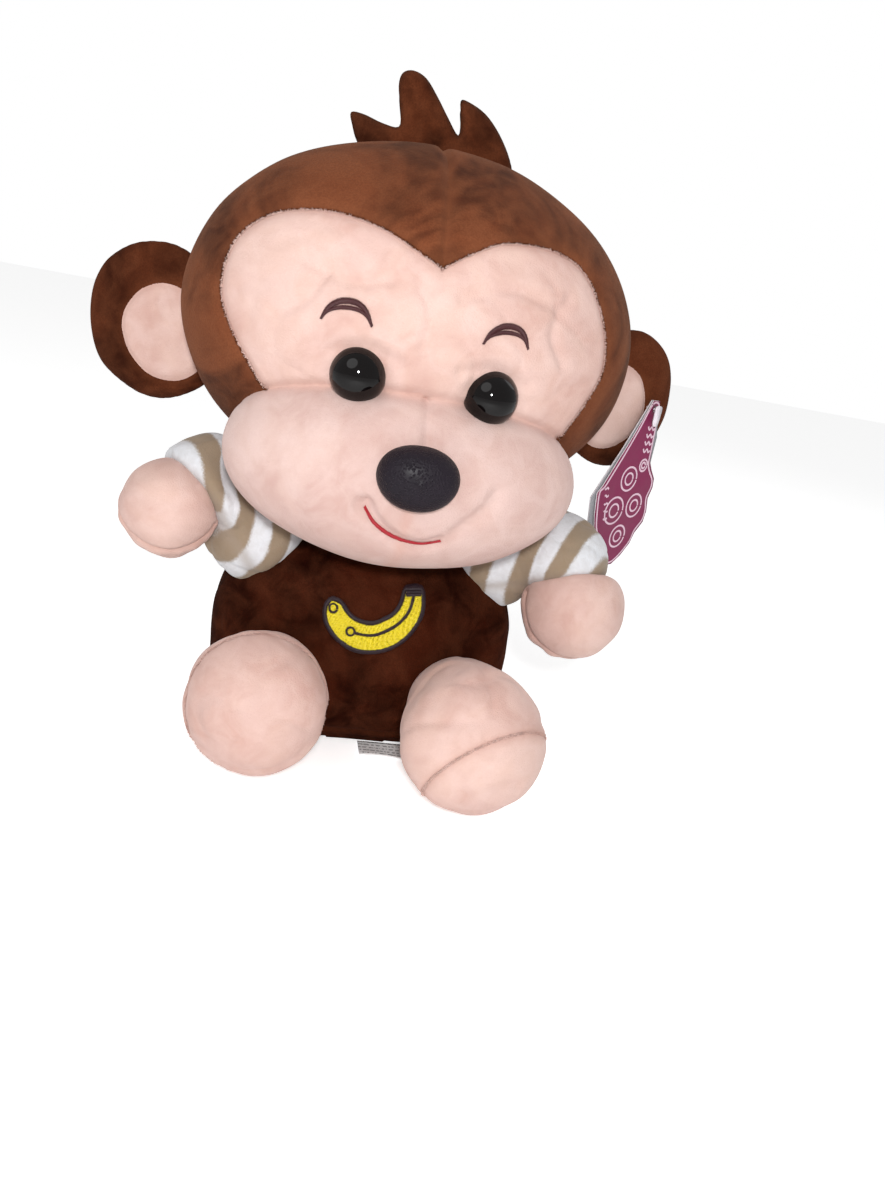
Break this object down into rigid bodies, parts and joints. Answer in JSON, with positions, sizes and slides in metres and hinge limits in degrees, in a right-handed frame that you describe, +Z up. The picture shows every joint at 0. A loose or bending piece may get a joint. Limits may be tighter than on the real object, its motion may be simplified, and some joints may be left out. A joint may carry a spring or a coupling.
{
  "type": "stuffed monkey",
  "caption": "Seated plush monkey with a large round head, striped sleeves, ball hands and feet, plastic eyes and nose, and a flat seat.",
  "frame": {"origin": "middle of the flat seat, on the surface that the toy sits on", "axes": "+Z up through the head, -Y the way the face looks, +X to the viewer's right"},
  "size_m": [0.2384, 0.1628, 0.246],
  "materials": {
    "brown_velour": "short-pile velour with nap patches",
    "pink_velour": "short-pile velour",
    "striped_plush": "soft plush printed with khaki rings",
    "stuffing": "polyester fibre fill",
    "eye_plastic": "high gloss",
    "nose_plastic": "fine leather grain, satin",
    "washer_plastic": "natural moulded",
    "brow_thread": "satin stitch",
    "mouth_thread": "satin stitch",
    "banana_thread": "filled satin stitch",
    "outline_thread": "satin stitch",
    "label_satin": "woven satin tape",
    "tag_print": "printed card, satin varnish",
    "tag_back": "plain card",
    "fastener_plastic": "clear moulded"
  },
  "bodies": {
    "torso": {"torso_front_panel": "brown_velour", "torso_back_panel": "brown_velour", "seat_panel": "brown_velour", "torso_stuffing": "stuffing", "banana_fill": "banana_thread", "banana_outline": "outline_thread"},
    "neck": {"neck_stuffing": "stuffing"},
    "head": {"crown_left": "brown_velour", "crown_right": "brown_velour", "head_back_left": "brown_velour", "head_back_right": "brown_velour", "face_panel": "pink_velour", "muzzle_panel": "pink_velour", "head_stuffing": "stuffing", "eye_left": "eye_plastic", "eye_right": "eye_plastic", "eye_washer_left": "washer_plastic", "eye_washer_right": "washer_plastic", "nose": "nose_plastic", "nose_washer": "washer_plastic", "brow_left": "brow_thread", "brow_right": "brow_thread", "mouth_stitch": "mouth_thread"},
    "ear_left": {"ear_shell_left": "brown_velour", "ear_lining_left": "pink_velour"},
    "ear_right": {"ear_shell_right": "brown_velour", "ear_lining_right": "pink_velour", "tag_fastener": "fastener_plastic"},
    "tuft": {"tuft_front": "brown_velour", "tuft_back": "brown_velour"},
    "hang_tag": {"tag_front_card": "tag_print", "tag_back_card": "tag_back"},
    "care_label": {"care_label": "label_satin"},
    "arm_left": {"sleeve_left": "striped_plush", "arm_stuffing_left": "stuffing"},
    "hand_left": {"hand_palm_left": "pink_velour", "hand_back_left": "pink_velour", "hand_stuffing_left": "stuffing"},
    "foot_left": {"foot_upper_left": "pink_velour", "foot_sole_left": "pink_velour", "foot_stuffing_left": "stuffing"},
    "arm_right": {"sleeve_right": "striped_plush", "arm_stuffing_right": "stuffing"},
    "hand_right": {"hand_palm_right": "pink_velour", "hand_back_right": "pink_velour", "hand_stuffing_right": "stuffing"},
    "foot_right": {"foot_upper_right": "pink_velour", "foot_sole_right": "pink_velour", "foot_stuffing_right": "stuffing"}
  },
  "joints": [
    {"name": "head_turn", "type": "hinge", "parent": "torso", "child": "neck", "pos_m": [0, 0.004, 0.086], "axis": [0, 0, 1], "range_deg": [-8, 8], "stiffness_Nm_per_rad": 1.2},
    {"name": "head_nod", "type": "hinge", "parent": "neck", "child": "head", "pos_m": [0, 0.004, 0.086], "axis": [1, 0, 0], "range_deg": [-14, 0], "stiffness_Nm_per_rad": 2},
    {"name": "arm_left_lift", "type": "hinge", "parent": "torso", "child": "arm_left", "pos_m": [-0.05, -0.004, 0.074], "axis": [0, 1, 0], "range_deg": [-30, 15], "stiffness_Nm_per_rad": 0.15},
    {"name": "hand_left_bend", "type": "hinge", "parent": "arm_left", "child": "hand_left", "pos_m": [-0.06644, -0.01408, 0.07931], "axis": [0, 1, 0], "range_deg": [-12, 12], "stiffness_Nm_per_rad": 0.08},
    {"name": "leg_left_lift", "type": "hinge", "parent": "torso", "child": "foot_left", "pos_m": [-0.036, -0.038, 0.0254], "axis": [1, 0, 0], "range_deg": [-20, 12], "stiffness_Nm_per_rad": 0.3},
    {"name": "ear_left_fold", "type": "hinge", "parent": "head", "child": "ear_left", "pos_m": [-0.0835, 0.0129, 0.146], "axis": [0, 0, 1], "range_deg": [-15, 20], "stiffness_Nm_per_rad": 0.03},
    {"name": "arm_right_lift", "type": "hinge", "parent": "torso", "child": "arm_right", "pos_m": [0.05, -0.004, 0.074], "axis": [0, 1, 0], "range_deg": [-25, 12], "stiffness_Nm_per_rad": 0.15},
    {"name": "hand_right_bend", "type": "hinge", "parent": "arm_right", "child": "hand_right", "pos_m": [0.06575, -0.01503, 0.06849], "axis": [0, 1, 0], "range_deg": [-12, 12], "stiffness_Nm_per_rad": 0.08},
    {"name": "leg_right_lift", "type": "hinge", "parent": "torso", "child": "foot_right", "pos_m": [0.036, -0.038, 0.0254], "axis": [1, 0, 0], "range_deg": [-20, 12], "stiffness_Nm_per_rad": 0.3},
    {"name": "ear_right_fold", "type": "hinge", "parent": "head", "child": "ear_right", "pos_m": [0.0835, 0.0129, 0.146], "axis": [0, 0, -1], "range_deg": [-15, 20], "stiffness_Nm_per_rad": 0.03},
    {"name": "tuft_flex", "type": "hinge", "parent": "head", "child": "tuft", "pos_m": [0, 0.0102, 0.221], "axis": [1, 0, 0], "range_deg": [-16, 16], "stiffness_Nm_per_rad": 0.02},
    {"name": "hang_tag_swing", "type": "hinge", "parent": "ear_right", "child": "hang_tag", "pos_m": [0.10841, 0.01186, 0.1445], "axis": [-0.8387, -0.5446, 0], "range_deg": [-2, 10]},
    {"name": "care_label_flex", "type": "hinge", "parent": "torso", "child": "care_label", "pos_m": [0.016, -0.035, 0.0006], "axis": [1, 0, 0], "range_deg": [-25, 0], "stiffness_Nm_per_rad": 0.002}
  ]
}
